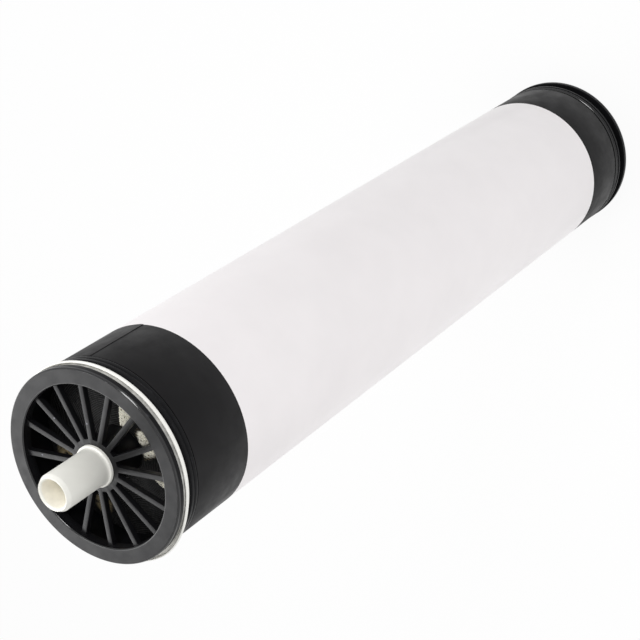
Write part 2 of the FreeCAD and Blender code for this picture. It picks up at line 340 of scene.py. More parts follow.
def finished(name, build, materials, sharp_degrees=38):
    """Close a bmesh into an object with smooth faces and crisp edges."""
    bmesh.ops.recalc_face_normals(build, faces=build.faces)
    mesh = bpy.data.meshes.new(name)
    build.to_mesh(mesh)
    build.free()
    mesh.shade_smooth()
    mesh.set_sharp_from_angle(angle=math.radians(sharp_degrees))
    for material in materials:
        mesh.materials.append(material)
    piece = bpy.data.objects.new(name, mesh)
    bpy.context.collection.objects.link(piece)
    return piece


def settle(piece, slot, *nodes):
    """Fix a piece to the element, and hide the solids that it stands for. The slot of its finish is not used.
    """
    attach(piece, "root")
    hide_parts(*nodes)


def turned_end(build):
    """Turn what was built at the concentrate end round to the feed end."""
    bmesh.ops.transform(
        build, matrix=Matrix.Translation((0, 0, LENGTH)) @ Matrix.Rotation(math.pi, 4, "X"), verts=build.verts
    )


# Materials


def set_inputs(tree, node, inputs):
    """Set each input to its value, or link it from a socket or from another node's first output."""
    for name, value in inputs.items():
        if isinstance(value, bpy.types.Node):
            value = next(output for output in value.outputs if output.enabled)
        if isinstance(value, bpy.types.NodeSocket):
            tree.links.new(value, node.inputs[name])
        else:
            node.inputs[name].default_value = value


def add_node(tree, kind, inputs, **settings):
    """Add a node with its settings, and set or link its inputs."""
    node = tree.nodes.new(kind)
    for name, value in settings.items():
        setattr(node, name, value)
    set_inputs(tree, node, inputs)
    return node


def new_material(name, roughness, ior, **constants):
    """A material, its tree, its Principled shader with constant values, and the position on the object."""
    material = bpy.data.materials.new(name)
    material.use_nodes = True
    tree = material.node_tree
    shader = tree.nodes["Principled BSDF"]
    set_inputs(tree, shader, {"Roughness": roughness, "IOR": ior})
    set_inputs(tree, shader, {socket.replace("_", " "): value for socket, value in constants.items()})
    position = add_node(tree, "ShaderNodeTexCoord", {}).outputs["Object"]
    return material, tree, shader, position


def per_metre(millimetres):
    """Noise scale for a pattern of that size."""
    return 1 / (millimetres * MM)


def tinted(colour, factor):
    """The colour made lighter or darker."""
    return (*(min(channel * factor, 1) for channel in colour[:3]), 1)


def mottled(tree, position, size, dark, light, low=0.35, high=0.65):
    """A noise that runs between two colours, for patches of that size in millimetres."""
    patches = add_node(tree, "ShaderNodeTexNoise", {
        "Vector": position, "Scale": per_metre(size), "Detail": 3, "Roughness": 0.55,
    })
    share = add_node(tree, "ShaderNodeMapRange", {"Value": patches, "From Min": low, "From Max": high})
    return add_node(tree, "ShaderNodeMix", {"Factor": share, "A": dark, "B": light}, data_type="RGBA")


def varied(tree, position, size, low, high):
    """A noise that runs between two numbers, such as two roughnesses."""
    patches = add_node(tree, "ShaderNodeTexNoise", {
        "Vector": position, "Scale": per_metre(size), "Detail": 4, "Roughness": 0.6,
    })
    return add_node(tree, "ShaderNodeMapRange", {
        "Value": patches, "From Min": 0.3, "From Max": 0.7, "To Min": low, "To Max": high,
    })


def cylindrical(tree, position):
    """Angle about the axis, radius and height of a point on the object."""
    parts = add_node(tree, "ShaderNodeSeparateXYZ", {"Vector": position}).outputs
    angle = add_node(tree, "ShaderNodeMath", {0: parts["Y"], 1: parts["X"]}, operation="ARCTAN2")
    flat = add_node(tree, "ShaderNodeCombineXYZ", {"X": parts["X"], "Y": parts["Y"]})
    radius = add_node(tree, "ShaderNodeVectorMath", {0: flat}, operation="LENGTH")
    return angle, radius, parts["Z"]


def sine_along(tree, value, pitch):
    """A sine that repeats with each pitch along a value."""
    phase = add_node(tree, "ShaderNodeMath", {0: value, 1: 2 * math.pi / pitch}, operation="MULTIPLY")
    return add_node(tree, "ShaderNodeMath", {0: phase}, operation="SINE")


def grained(tree, position, size, depth):
    """The normal of a surface with soft grain of that size and depth in millimetres."""
    grain = add_node(tree, "ShaderNodeTexNoise", {"Vector": position, "Scale": per_metre(size), "Detail": 2})
    return add_node(tree, "ShaderNodeBump", {"Height": grain, "Distance": depth * MM, "Strength": 0.3})


def near_spot(tree, position, height, degrees, radius, outer, inner):
    """1 within the inner reach of a spot, in millimetres, and 0 past the outer reach."""
    spot = spot_at(degrees, radius, height)
    far = add_node(tree, "ShaderNodeVectorMath", {0: position, 1: spot}, operation="DISTANCE")
    return add_node(tree, "ShaderNodeMapRange", {
        "Value": far, "From Min": outer * MM, "From Max": inner * MM,
    })


def from_middle(tree, height):
    """How far a point lies from the middle of the element, towards either end."""
    reach = add_node(tree, "ShaderNodeMath", {0: height, 1: LENGTH / 2}, operation="SUBTRACT")
    return add_node(tree, "ShaderNodeMath", {0: reach}, operation="ABSOLUTE")


def scuffed_with_glint_nicks(tree, position, colour, rim, glint_nick_height):
    """Cloudy dark plastic, with pale scuffs along the rim, and pale nicks in the spokes that are partly
    painted glints.
    """
    angle, radius, height = cylindrical(tree, position)
    flow = mottled(tree, position, 38, tinted(colour, 0.85), tinted(colour, 1.15))
    # The rubs run along the rim, so their noise is stretched five times that way.
    around = add_node(tree, "ShaderNodeMath", {0: angle, 1: CAP_RADIUS / 5}, operation="MULTIPLY")
    unrolled = add_node(tree, "ShaderNodeCombineXYZ", {"X": around, "Y": radius, "Z": height})
    rubs = add_node(tree, "ShaderNodeTexNoise", {
        "Vector": unrolled, "Scale": per_metre(2.2), "Detail": 4, "Roughness": 0.7,
    })
    worn = add_node(tree, "ShaderNodeMapRange", {"Value": rubs, "From Min": 0.6, "From Max": 0.72})
    scuffs = add_node(tree, "ShaderNodeMath", {0: rim, 1: worn}, operation="MULTIPLY")
    marked = add_node(tree, "ShaderNodeMix", {
        "Factor": scuffs, "A": flow, "B": tinted(colour, 5),
    }, data_type="RGBA")
    # The nicks are pale, partly wear and partly painted glints.
    for degrees, from_axis in GLINT_NICKS:
        glint_nick = near_spot(tree, position, glint_nick_height, degrees, from_axis, *GLINT_NICK_REACHES)
        marked = add_node(tree, "ShaderNodeMix", {
            "Factor": glint_nick, "A": marked, "B": tinted(colour, 24),
        }, data_type="RGBA")
    return marked


def polished_edges(tree, radius, height, rim, face, sizes):
    """1 where handling has rubbed the cap smooth, so that it glints, and 0 elsewhere."""
    # These are the outer edge of the face and its edge at the windows.
    ledge = sizes.window_radius + sizes.window_ledge_bevel / 2
    ledge_reach = 0.9 * MM
    near_windows = add_node(tree, "ShaderNodeMath", {
        0: radius, 1: ledge, 2: ledge_reach,
    }, operation="COMPARE")
    edges = add_node(tree, "ShaderNodeMath", {0: rim, 1: near_windows}, operation="MAXIMUM")
    face_edges = add_node(tree, "ShaderNodeMath", {0: edges, 1: face}, operation="MULTIPLY")
    # So is the shoulder of the bead at the concentrate end.
    reach_along = 1.3 * MM
    reach_down = 1.9 * MM
    at_bead_end = add_node(tree, "ShaderNodeMath", {
        0: height, 1: sizes.bead_end, 2: reach_along,
    }, operation="COMPARE")
    at_bead_crown = add_node(tree, "ShaderNodeMath", {
        0: radius, 1: sizes.bead_radius, 2: reach_down,
    }, operation="COMPARE")
    shoulder = add_node(tree, "ShaderNodeMath", {0: at_bead_end, 1: at_bead_crown}, operation="MULTIPLY")
    return add_node(tree, "ShaderNodeMath", {0: face_edges, 1: shoulder}, operation="MAXIMUM")


def moulded_glass_filled_plastic(colour, sizes):
    """Dark grey glass-filled ABS, injection moulded."""
    # The eye sees an even satin grey with a fine spark-eroded grain and faint cloudy flow marks, and pale
    # scuffs where the rim of the flange has touched other elements, and a few pale nicks in the grille's
    # spokes, partly wear and partly painted glints.
    # The real grain is about 0.1 mm and is drawn at 0.5 mm, the finest that the render shows.
    material, tree, shader, position = new_material("glass_filled_ABS_moulded", 0.36, 1.53)
    _, radius, height = cylindrical(tree, position)
    rim_start = CAP_RADIUS - 1.4 * MM
    rim_full = CAP_RADIUS - 1.1 * MM
    rim = add_node(tree, "ShaderNodeMapRange", {"Value": radius, "From Min": rim_start, "From Max": rim_full})
    # The sides of the rims, which the mould leaves dull, shine less than the face and the grille.
    face_start = LENGTH / 2 - 3 * MM
    face_full = LENGTH / 2 - 2 * MM
    face = add_node(tree, "ShaderNodeMapRange", {
        "Value": from_middle(tree, height), "From Min": face_start, "From Max": face_full,
    })
    grille_start = CAP_RADIUS - 12 * MM
    grille_full = CAP_RADIUS - 13 * MM
    inner = add_node(tree, "ShaderNodeMapRange", {
        "Value": radius, "From Min": grille_start, "From Max": grille_full,
    })
    bright = add_node(tree, "ShaderNodeMath", {0: face, 1: inner}, operation="MAXIMUM")
    satin = add_node(tree, "ShaderNodeMapRange", {
        "Value": bright, "To Min": 0.07, "To Max": varied(tree, position, 15, 0.18, 0.26),
    })
    polished = polished_edges(tree, radius, height, rim, face, sizes)
    shine = add_node(tree, "ShaderNodeMix", {"Factor": polished, "A": satin, "B": 0.45})
    roughness = add_node(tree, "ShaderNodeMix", {
        "Factor": polished, "A": varied(tree, position, 9, 0.3, 0.4), "B": 0.1,
    })
    set_inputs(tree, shader, {
        "Base Color": scuffed_with_glint_nicks(tree, position, colour, rim, LENGTH - sizes.grille_recess),
        "Specular IOR Level": shine,
        "Roughness": roughness,
        "Normal": grained(tree, position, 0.5, 0.04),
    })
    return material


def calendered_vinyl_tape(colour):
    """Black vinyl tape, calendered, stretched round the shell."""
    # The eye sees a deep black with a soft, slightly uneven sheen and faint lines of tension round the band.
    material, tree, shader, position = new_material(
        "vinyl_tape_calendered", 0.46, 1.52, Specular_IOR_Level=0.16
    )
    angle, radius, height = cylindrical(tree, position)
    # The lines run round the band, so their noise is stretched about eight times that way.
    around = add_node(tree, "ShaderNodeMath", {0: angle, 1: SHELL_RADIUS * 0.12}, operation="MULTIPLY")
    unrolled = add_node(tree, "ShaderNodeCombineXYZ", {"X": around, "Y": height, "Z": radius})
    tension = add_node(tree, "ShaderNodeTexNoise", {"Vector": unrolled, "Scale": per_metre(5), "Detail": 3})
    set_inputs(tree, shader, {
        "Base Color": mottled(tree, position, 30, tinted(colour, 0.85), tinted(colour, 1.2)),
        "Roughness": varied(tree, position, 22, 0.4, 0.56),
        "Normal": add_node(tree, "ShaderNodeBump", {
            "Height": tension, "Distance": 0.12 * MM, "Strength": 0.25,
        }),
    })
    return material


def wound_white_film(colour):
    """White polyester film, wound over the fibreglass."""
    # The eye sees a clean satin white in which the winding below shows as very faint sloping bands.
    material, tree, shader, position = new_material("polyester_film_wound", 0.34, 1.57)
    angle, _, height = cylindrical(tree, position)
    band_width = 12 * MM
    slope = add_node(tree, "ShaderNodeMath", {
        0: angle, 1: band_width / (2 * math.pi), 2: height,
    }, operation="MULTIPLY_ADD")
    winding = sine_along(tree, slope, band_width)
    unevenness = add_node(tree, "ShaderNodeTexNoise", {
        "Vector": position, "Scale": per_metre(14), "Detail": 3,
    })
    relief = add_node(tree, "ShaderNodeMath", {0: winding, 1: 0.12, 2: unevenness}, operation="MULTIPLY_ADD")
    set_inputs(tree, shader, {
        "Base Color": mottled(tree, position, 60, tinted(colour, 0.985), tinted(colour, 1.01)),
        "Roughness": varied(tree, position, 40, 0.3, 0.4),
        "Normal": add_node(tree, "ShaderNodeBump", {
            "Height": relief, "Distance": 0.08 * MM, "Strength": 0.2,
        }),
    })
    return material


def moulded_seal_rubber(colour):
    """Off-white EPDM rubber, compression moulded."""
    # The eye sees a soft matt off-white lip, and an inner leg, down in the groove, painted darker as shade.
    material, tree, shader, position = new_material("EPDM_rubber_moulded", 0.52, 1.5)
    _, radius, _ = cylindrical(tree, position)
    painted_shade_end = CAP_RADIUS - 1.4 * MM
    unshaded_start = CAP_RADIUS - 0.4 * MM
    out_of_groove = add_node(tree, "ShaderNodeMapRange", {
        "Value": radius, "From Min": painted_shade_end, "From Max": unshaded_start,
    })
    # The leg down in the groove is painted darker as shade.
    shaded_rubber = add_node(tree, "ShaderNodeMix", {
        "Factor": out_of_groove,
        "A": mottled(tree, position, 8, tinted(colour, 0.45), tinted(colour, 0.75)),
        "B": mottled(tree, position, 12, tinted(colour, 0.94), colour),
    }, data_type="RGBA")
    set_inputs(tree, shader, {"Base Color": shaded_rubber, "Normal": grained(tree, position, 0.7, 0.05)})
    return material


def turned_white_abs(colour, bore, bore_radius):
    """White ABS, extruded and then turned at the spigot."""
    # The eye sees a clean satin white with fine rings from the lathe tool, drawn at 0.9 mm so that they show,
    # and a bore painted cream, which stands for the light that bounces inside it.
    ring_pitch = 0.9 * MM
    bounce_tint_end = bore_radius + 0.02 * MM
    white_start = bore_radius + 0.2 * MM
    material, tree, shader, position = new_material("white_ABS_turned", 0.33, 1.53)
    _, radius, height = cylindrical(tree, position)
    rings = sine_along(tree, height, ring_pitch)
    worn = add_node(tree, "ShaderNodeTexNoise", {"Vector": position, "Scale": per_metre(3), "Detail": 3})
    relief = add_node(tree, "ShaderNodeMath", {0: rings, 1: 0.25, 2: worn}, operation="MULTIPLY_ADD")
    outside = add_node(tree, "ShaderNodeMapRange", {
        "Value": radius, "From Min": bounce_tint_end, "From Max": white_start,
    })
    # The bore is painted cream for the light that bounces inside it.
    bounce_tint_to_white = add_node(tree, "ShaderNodeMix", {
        "Factor": outside,
        "A": mottled(tree, position, 7, tinted(bore, 0.92), bore),
        "B": mottled(tree, position, 16, tinted(colour, 0.97), colour),
    }, data_type="RGBA")
    set_inputs(tree, shader, {
        "Base Color": bounce_tint_to_white,
        "Roughness": varied(tree, position, 8, 0.28, 0.4),
        "Normal": add_node(tree, "ShaderNodeBump", {
            "Height": relief, "Distance": 0.02 * MM, "Strength": 0.35,
        }),
    })
    return material


def comb_shade(tree, position, bottom, top):
    """How far up a ridge of the leaf edges a point lies, from the bottom of the gap to the top."""
    height = add_node(tree, "ShaderNodeSeparateXYZ", {"Vector": position}).outputs["Z"]
    roll_end = (ROLL_TOP - ROLL_BOTTOM) / 2
    return add_node(tree, "ShaderNodeMapRange", {
        "Value": from_middle(tree, height),
        "From Min": roll_end + bottom * MM, "From Max": roll_end + top * MM,
    })


def trimmed_leaf_edges(leaf, glue):
    """Edges of the wound membrane leaves, trimmed with a blade."""
    # The eye sees edges painted nearly black as shade and darkest down in the gaps, rough along the cut,
    # painted lighter on one side where light falls, with brown patches in two places.
    material, tree, shader, position = new_material(
        "membrane_leaves_trimmed", 0.5, 1.5, Specular_IOR_Level=0.2
    )
    # One side of the tops is painted lighter, where light falls on it.
    tops = add_node(tree, "ShaderNodeMix", {
        "Factor": near_spot(tree, position, ROLL_TOP, *PAINTED_LIGHT_SIDE),
        "A": mottled(tree, position, 5, tinted(leaf, 0.6), tinted(leaf, 1.3)),
        "B": mottled(tree, position, 5, tinted(leaf, 1.6), tinted(leaf, 3.2)),
    }, data_type="RGBA")
    # Down in the gaps the edges are painted near black as shade.
    shaded_and_marked = add_node(tree, "ShaderNodeMix", {
        "Factor": comb_shade(tree, position, -1.0, -0.35), "A": tinted(leaf, 0.06), "B": tops,
    }, data_type="RGBA")
    streaks = add_node(tree, "ShaderNodeTexNoise", {"Vector": position, "Scale": per_metre(7), "Detail": 5})
    strength = add_node(tree, "ShaderNodeMapRange", {"Value": streaks, "From Min": 0.38, "From Max": 0.56})
    # Brown patches are mixed in at two places, along the streaks.
    for run in BROWN_PATCHES:
        near = near_spot(tree, position, ROLL_TOP, *run)
        share = add_node(tree, "ShaderNodeMath", {0: near, 1: strength}, operation="MULTIPLY")
        shaded_and_marked = add_node(tree, "ShaderNodeMix", {
            "Factor": share, "A": shaded_and_marked, "B": glue,
        }, data_type="RGBA")
    set_inputs(tree, shader, {
        "Base Color": shaded_and_marked,
        "Normal": add_node(tree, "ShaderNodeBump", {
            "Height": streaks, "Distance": 0.2 * MM, "Strength": 0.4,
        }),
    })
    return material


def painted_lit_patches(tree, position):
    """How lit a point of the netting end is painted: 1 in the lit patches, and 0 in the painted shade between
    them.
    """
    stray = 7 * MM
    wander = add_node(tree, "ShaderNodeTexNoise", {"Vector": position, "Scale": per_metre(9), "Detail": 4})
    shift = add_node(tree, "ShaderNodeVectorMath", {
        0: wander.outputs["Color"], 1: (0.5, 0.5, 0.5),
    }, operation="SUBTRACT")
    moved = add_node(tree, "ShaderNodeVectorMath", {
        0: shift, 1: (stray, stray, 0), 2: position,
    }, operation="MULTIPLY_ADD")
    lit_share = None
    # Each place fades out from 1 mm inside its reach to 2 mm beyond it.
    for degrees, radius, reach in LIT_NETTING_SPOTS:
        near = near_spot(tree, moved, NETTING_TOP, degrees, radius, reach + 2, reach - 1)
        if lit_share is not None:
            near = add_node(tree, "ShaderNodeMath", {0: lit_share, 1: near}, operation="MAXIMUM")
        lit_share = near
    return lit_share


def extruded_netting(colour, glue):
    """Cream polypropylene netting, extruded."""
    # The eye sees waxy cream strands in a few patches painted as lit, and strands painted dark with shade
    # between them.
    material, tree, shader, position = new_material("polypropylene_netting_extruded", 0.42, 1.49)
    # Cream in the patches painted as lit, and painted shade in dark tints of the brown between them.
    strands = add_node(tree, "ShaderNodeMix", {
        "Factor": painted_lit_patches(tree, position),
        "A": mottled(tree, position, 7, tinted(glue, 0.03), tinted(glue, 0.4), low=0.45, high=0.7),
        "B": mottled(tree, position, 5, tinted(colour, 0.9), colour),
    }, data_type="RGBA")
    set_inputs(tree, shader, {"Base Color": strands})
    return material


def glued_leaf_sheet(colour, glue, leaf):
    """End of the leaf under the netting, stiff with glue."""
    # The eye sees cream cloth with olive flecks in the patches painted as lit, and between them painted
    # shade, nearly black and darkest in the grooves.
    material, tree, shader, position = new_material("polyester_leaf_glued", 0.5, 1.5, Specular_IOR_Level=0.2)
    # Between the lit patches the sheet is painted as shade, near black in the grooves.
    dark = add_node(tree, "ShaderNodeMix", {
        "Factor": comb_shade(tree, position, 0.1, 0.7),
        "A": tinted(leaf, 0.08),
        "B": mottled(tree, position, 6, tinted(leaf, 0.7), tinted(leaf, 1.6)),
    }, data_type="RGBA")
    cloth = add_node(tree, "ShaderNodeMix", {
        "Factor": painted_lit_patches(tree, position),
        "A": dark,
        "B": mottled(tree, position, 2.4, tinted(glue, 0.5), colour, low=0.4, high=0.46),
    }, data_type="RGBA")
    set_inputs(tree, shader, {"Base Color": cloth})
    return material


def knitted_carrier(colour):
    """Polyester tricot, stiffened with resin and wound on the tube."""
    # The eye sees fine lengthwise ribs of knit, 0.6 mm apart, in a dull cream.
    material, tree, shader, position = new_material("polyester_tricot_knitted", 0.7, 1.5)
    angle, _, _ = cylindrical(tree, position)
    rib_pitch = 0.6 * MM
    ribs = sine_along(tree, angle, rib_pitch / CORE_RADIUS)
    set_inputs(tree, shader, {
        "Base Color": mottled(tree, position, 5, tinted(colour, 0.85), colour),
        "Normal": add_node(tree, "ShaderNodeBump", {"Height": ribs, "Distance": 0.1 * MM, "Strength": 0.5}),
    })
    return material


def amber_film_tape(colour):
    """Film tape that holds the roll shut."""
    # The eye sees glossy amber film with slow waves where it was pulled tight.
    material, tree, shader, position = new_material("film_tape_amber", 0.22, 1.5)
    set_inputs(tree, shader, {
        "Base Color": mottled(tree, position, 35, tinted(colour, 0.9), colour),
        "Normal": grained(tree, position, 25, 0.3),
    })
    return material


def wound_fibreglass(colour):
    """Glass rovings in epoxy, wound at a slope both ways."""
    # The eye sees crossing bands 6 mm wide under a glossy, slightly yellow resin.
    material, tree, shader, position = new_material("fibreglass_filament_wound", 0.28, 1.54)
    angle, _, height = cylindrical(tree, position)
    band_width = 6 * MM
    bands = []
    for direction in (-1, 1):
        slope = add_node(tree, "ShaderNodeMath", {
            0: angle, 1: direction * SHELL_RADIUS, 2: height,
        }, operation="MULTIPLY_ADD")
        bands.append(sine_along(tree, slope, band_width))
    crossing = add_node(tree, "ShaderNodeMath", {0: bands[0], 1: bands[1]}, operation="MAXIMUM")
    set_inputs(tree, shader, {
        "Base Color": mottled(tree, position, 8, tinted(colour, 0.8), colour),
        "Normal": add_node(tree, "ShaderNodeBump", {
            "Height": crossing, "Distance": 0.25 * MM, "Strength": 0.4,
        }),
    })
    return material


# Pieces


def window_outline(sizes, turn, grow):
    """One window between two spokes with filleted corners, its edge moved outwards by grow."""
    half = sizes.spoke_width / 2
    corner = sizes.window_corner
    step = 2 * math.pi / sizes.spoke_count
    quarter = math.pi / 2
    around_fillet = CORNER_STEPS + 1
    outer_reach = sizes.window_radius - corner
    inner_reach = sizes.hub_radius + corner
    outer_turn = math.asin((half + corner) / outer_reach)
    inner_turn = math.asin((half + corner) / inner_reach)
    fillet = corner + grow
    far_turn = step - inner_turn
    # Reach and direction of each arc's centre, its radius, its first and last angle, and its steps
    arcs = (
        (0, 0, sizes.window_radius + grow, outer_turn, step - outer_turn, WINDOW_ARC_STEPS),
        (outer_reach, step - outer_turn, fillet, step - outer_turn, step + quarter, around_fillet),
        (inner_reach, far_turn, fillet, step + quarter, far_turn + math.pi, around_fillet),
        (0, 0, sizes.hub_radius - grow, far_turn, inner_turn, WINDOW_ARC_STEPS // 2),
        (inner_reach, inner_turn, fillet, inner_turn + math.pi, 3 * quarter, around_fillet),
        (outer_reach, outer_turn, fillet, -quarter, outer_turn, around_fillet),
    )
    points = []
    for reach, direction, radius, first, last, steps in arcs:
        centre = Vector((reach * math.cos(direction + turn), reach * math.sin(direction + turn), 0))
        for index in range(steps):
            angle = turn + first + (last - first) * index / steps
            points.append(centre + Vector((radius * math.cos(angle), radius * math.sin(angle), 0)))
    return points


def raised(points, height):
    """The points moved to one height."""
    return [Vector((point.x, point.y, height)) for point in points]


def grille(build, sizes):
    """Hub, spokes and rim with rounded front edges, one closed plate."""
    front = sizes.grille_recess
    back = front + sizes.grille_thickness
    edge = sizes.grille_edge
    # The plate runs on into the wall of the cap, which hides its rim.
    hidden_rim = sizes.window_radius + 3 * MM
    rims = []
    step = 2 * math.pi / sizes.spoke_count
    for index in range(sizes.spoke_count):
        turn = sizes.spoke_phase + index * step
        loops = []
        for level in range(CORNER_STEPS + 1):
            lean = level / CORNER_STEPS * math.pi / 2
            grow = edge * (1 - math.sin(lean))
            loops.append(raised(window_outline(sizes, turn, grow), front + edge * (1 - math.cos(lean))))
        loops.append(raised(window_outline(sizes, turn, 0), back))
        rows = skin(build, loops, closed=False)
        rims.append((rows[0], rows[-1]))
    for radius in (sizes.hub_bore_radius, hidden_rim):
        rows = skin(build, [circle(radius, front), circle(radius, back)], closed=False)
        rims.append((rows[0], rows[-1]))
    for side in (0, 1):
        edges = []
        for rim in rims:
            loop = rim[side]
            edges += [build.edges.get((loop[index - 1], loop[index])) for index in range(len(loop))]
        bmesh.ops.triangle_fill(build, edges=edges, use_beauty=True)


def cap_outline(sizes):
    """Section of the cap's wall, from the ledge of the windows round to the skirt."""
    root = SHELL_RADIUS - sizes.glue_gap
    crown = 1.0 * MM
    lead_in_height = 3.5 * MM
    lead_in_width = 2.2 * MM
    behind_grille = 0.2 * MM
    back = sizes.grille_recess + sizes.grille_thickness + behind_grille
    bevel = sizes.window_ledge_bevel
    # Points beside the bevels keep the shading of the face between them flat.
    beside = 1.2 * MM
    return [
        (sizes.window_radius + bevel, 0),
        (sizes.window_radius + bevel + beside, 0),
        (sizes.cap_radius - sizes.flange_bevel - beside, 0),
        (sizes.cap_radius - sizes.flange_bevel, 0),
        (sizes.cap_radius, sizes.flange_bevel),
        (sizes.cap_radius, sizes.flange_thickness),
        (sizes.groove_radius, sizes.flange_thickness),
        (sizes.groove_radius, sizes.groove_end),
        (sizes.rear_flange_radius - lead_in_height, sizes.groove_end),
        (sizes.rear_flange_radius, sizes.groove_end + lead_in_width),
        (sizes.rear_flange_radius, sizes.rear_flange_end),
        (root, sizes.rear_flange_end),
        (root, sizes.bead_start),
        (sizes.bead_radius - crown, sizes.bead_start),
        (sizes.bead_radius - crown / 4, sizes.bead_start + crown * 0.7),
        (sizes.bead_radius, sizes.bead_start + crown * 2),
        (sizes.bead_radius, sizes.bead_end - crown * 2),
        (sizes.bead_radius - crown / 5, sizes.bead_end - crown * 1.1),
        (sizes.bead_radius - crown * 0.6, sizes.bead_end - crown * 0.6),
        (sizes.bead_radius - crown * 1.8, sizes.bead_end),
        (sizes.neck_radius, sizes.bead_end),
        (sizes.neck_radius, sizes.neck_end),
        (sizes.cap_spigot_radius, sizes.neck_end),
        (sizes.cap_spigot_radius, CAP_DEPTH),
        (sizes.skirt_bore_radius, CAP_DEPTH),
        (sizes.skirt_bore_radius, back),
        (sizes.window_radius, back),
        (sizes.window_radius, bevel),
    ]


def end_cap(name, sizes, material, at_feed_end):
    """One anti-telescoping cap: wall, hub sleeve and grille."""
    build = bmesh.new()
    lathe(build, rounded(cap_outline(sizes), sizes.edge_round))
    # The sleeve's bore is a hair wider than the hub's, so that their walls don't coincide.
    bore = sizes.hub_bore_radius + 0.05 * MM
    hub_middle = sizes.grille_recess + sizes.grille_thickness / 2
    sleeve = [
        (bore, hub_middle), (sizes.hub_sleeve_radius, hub_middle),
        (sizes.hub_sleeve_radius, CAP_DEPTH), (bore, CAP_DEPTH),
    ]
    lathe(build, sleeve, LATHE_SEGMENTS // 2)
    grille(build, sizes)
    if at_feed_end:
        turned_end(build)
    return finished(name, build, [material])


def seal_outline(sizes):
    """Section of the cup seal as it lies in the concentrate end's frame, mouth towards the face."""
    heel = LENGTH - SEAL_LOW.z
    mouth = LENGTH - SEAL_HIGH.z
    side_clearance = 0.2 * MM
    leg_draft = 0.1 * MM
    leg_round = 0.8 * MM
    floor = sizes.groove_radius + side_clearance
    leg = floor + sizes.seal_leg
    lip = SEAL_HIGH.x
    outline = [(floor, heel)]
    outline += [(lip - inset * MM, heel - rise * MM) for inset, rise in LIP_SECTION]
    cup_floor = outline[-1][1]
    outline += [
        (leg, cup_floor),
        (leg - leg_draft, mouth + leg_round),
        (leg - leg_round, mouth),
        (floor, mouth),
    ]
    return outline


def shape_free_lip(build, sizes):
    """Flatten the seal's free lip on the side that it has lain on, and pull it out where it was handled."""
    lip_root = CAP_RADIUS - 0.6 * MM
    root_share = 0.8
    for vertex in build.verts:
        radius = vertex.co.xy.length
        if radius < lip_root:
            continue
        angle = math.atan2(vertex.co.y, vertex.co.x)
        flattened = max(math.cos(angle - sizes.lip_set_at), 0) ** 2
        away = abs(math.remainder(angle - sizes.lip_flare_at, 2 * math.pi)) / sizes.lip_flare_reach
        pulled = math.cos(min(away, 1) * math.pi / 2) ** 2
        rise = (vertex.co.z - SEAL_LOW.z) / (SEAL_HIGH.z - SEAL_LOW.z)
        pull = sizes.lip_flare * pulled * (root_share + (1 - root_share) * rise)
        shift = pull - sizes.lip_set * flattened
        vertex.co.xy *= 1 + shift / radius


def tube_outline(sizes):
    """Section of the product tube, with a hollow fillet between shoulder and spigot."""
    top = TUBE_HIGH.z
    low = TUBE_LOW.z
    shoulder = LENGTH - sizes.grille_recess + sizes.shoulder_height
    fillet = sizes.shoulder_fillet
    chamfer = sizes.spigot_chamfer_depth
    bore = sizes.bore_radius
    lead = sizes.bore_chamfer
    # The shoulder's edge and the start of the chamfer are eased by one point each.
    edge = 0.9 * MM
    edge_inset = 0.35 * MM
    edge_drop = 0.25 * MM
    chamfer_start = top - sizes.spigot_chamfer_length
    ease_inset = 0.15 * MM
    ease_rise = 0.5 * MM
    outline = [
        (bore + lead, low),
        (sizes.tube_radius, low),
        (sizes.tube_radius, shoulder - edge),
        (sizes.tube_radius - edge_inset, shoulder - edge_drop),
        (sizes.tube_radius - edge, shoulder),
    ]
    reach = sizes.tube_radius - edge - sizes.spigot_radius
    for step in range(1, FILLET_STEPS + 1):
        lean = step / FILLET_STEPS * math.pi / 2
        outline.append((
            sizes.spigot_radius + reach * (1 - math.sin(lean)),
            shoulder + fillet * (1 - math.cos(lean)),
        ))
    outline += [
        (sizes.spigot_radius, chamfer_start),
        (sizes.spigot_radius - ease_inset, chamfer_start + ease_rise),
    ]
    outline += [(sizes.spigot_radius - chamfer - inset * MM, top - drop * MM) for inset, drop in TIP_SECTION]
    outline += [
        (bore + lead, top),
        (bore + lead / 3, top - lead / 3),
        (bore, top - lead),
        (bore, low + lead),
    ]
    return outline


def inlet_hole_drills(sizes):
    """Cylinders through both walls of the tube, a quarter turn on at each step."""
    build = bmesh.new()
    first = ROLL_BOTTOM + sizes.inlet_hole_pitch / 2
    count = int((ROLL_TOP - first) // sizes.inlet_hole_pitch)
    radius = sizes.inlet_hole_radius
    overshoot = 1 * MM
    for index in range(count):
        middle = Matrix.Translation((0, 0, first + index * sizes.inlet_hole_pitch))
        across = Matrix.Rotation(math.pi / 2 * (index % 2), 4, "Z") @ Matrix.Rotation(math.pi / 2, 4, "Y")
        bmesh.ops.create_cone(
            build, cap_ends=True, segments=HOLE_SEGMENTS, radius1=radius, radius2=radius,
            depth=2 * sizes.tube_radius + 2 * overshoot, matrix=middle @ across,
        )
    return finished("inlet_hole_drills", build, [])


def product_tube(sizes, material):
    """Product tube with its inlet holes cut."""
    build = bmesh.new()
    lathe(build, tube_outline(sizes), LATHE_SEGMENTS // 2)
    tube = finished("turned_product_tube", build, [material])
    drills = inlet_hole_drills(sizes)
    cut = tube.modifiers.new("inlet holes", "BOOLEAN")
    cut.operation = "DIFFERENCE"
    cut.object = drills
    cut.solver = "EXACT"
    bpy.context.view_layer.update()
    drilled = bpy.data.meshes.new_from_object(tube.evaluated_get(bpy.context.evaluated_depsgraph_get()))
    tube.modifiers.clear()
    tube.data = drilled
    bpy.data.objects.remove(drills)
    return tube


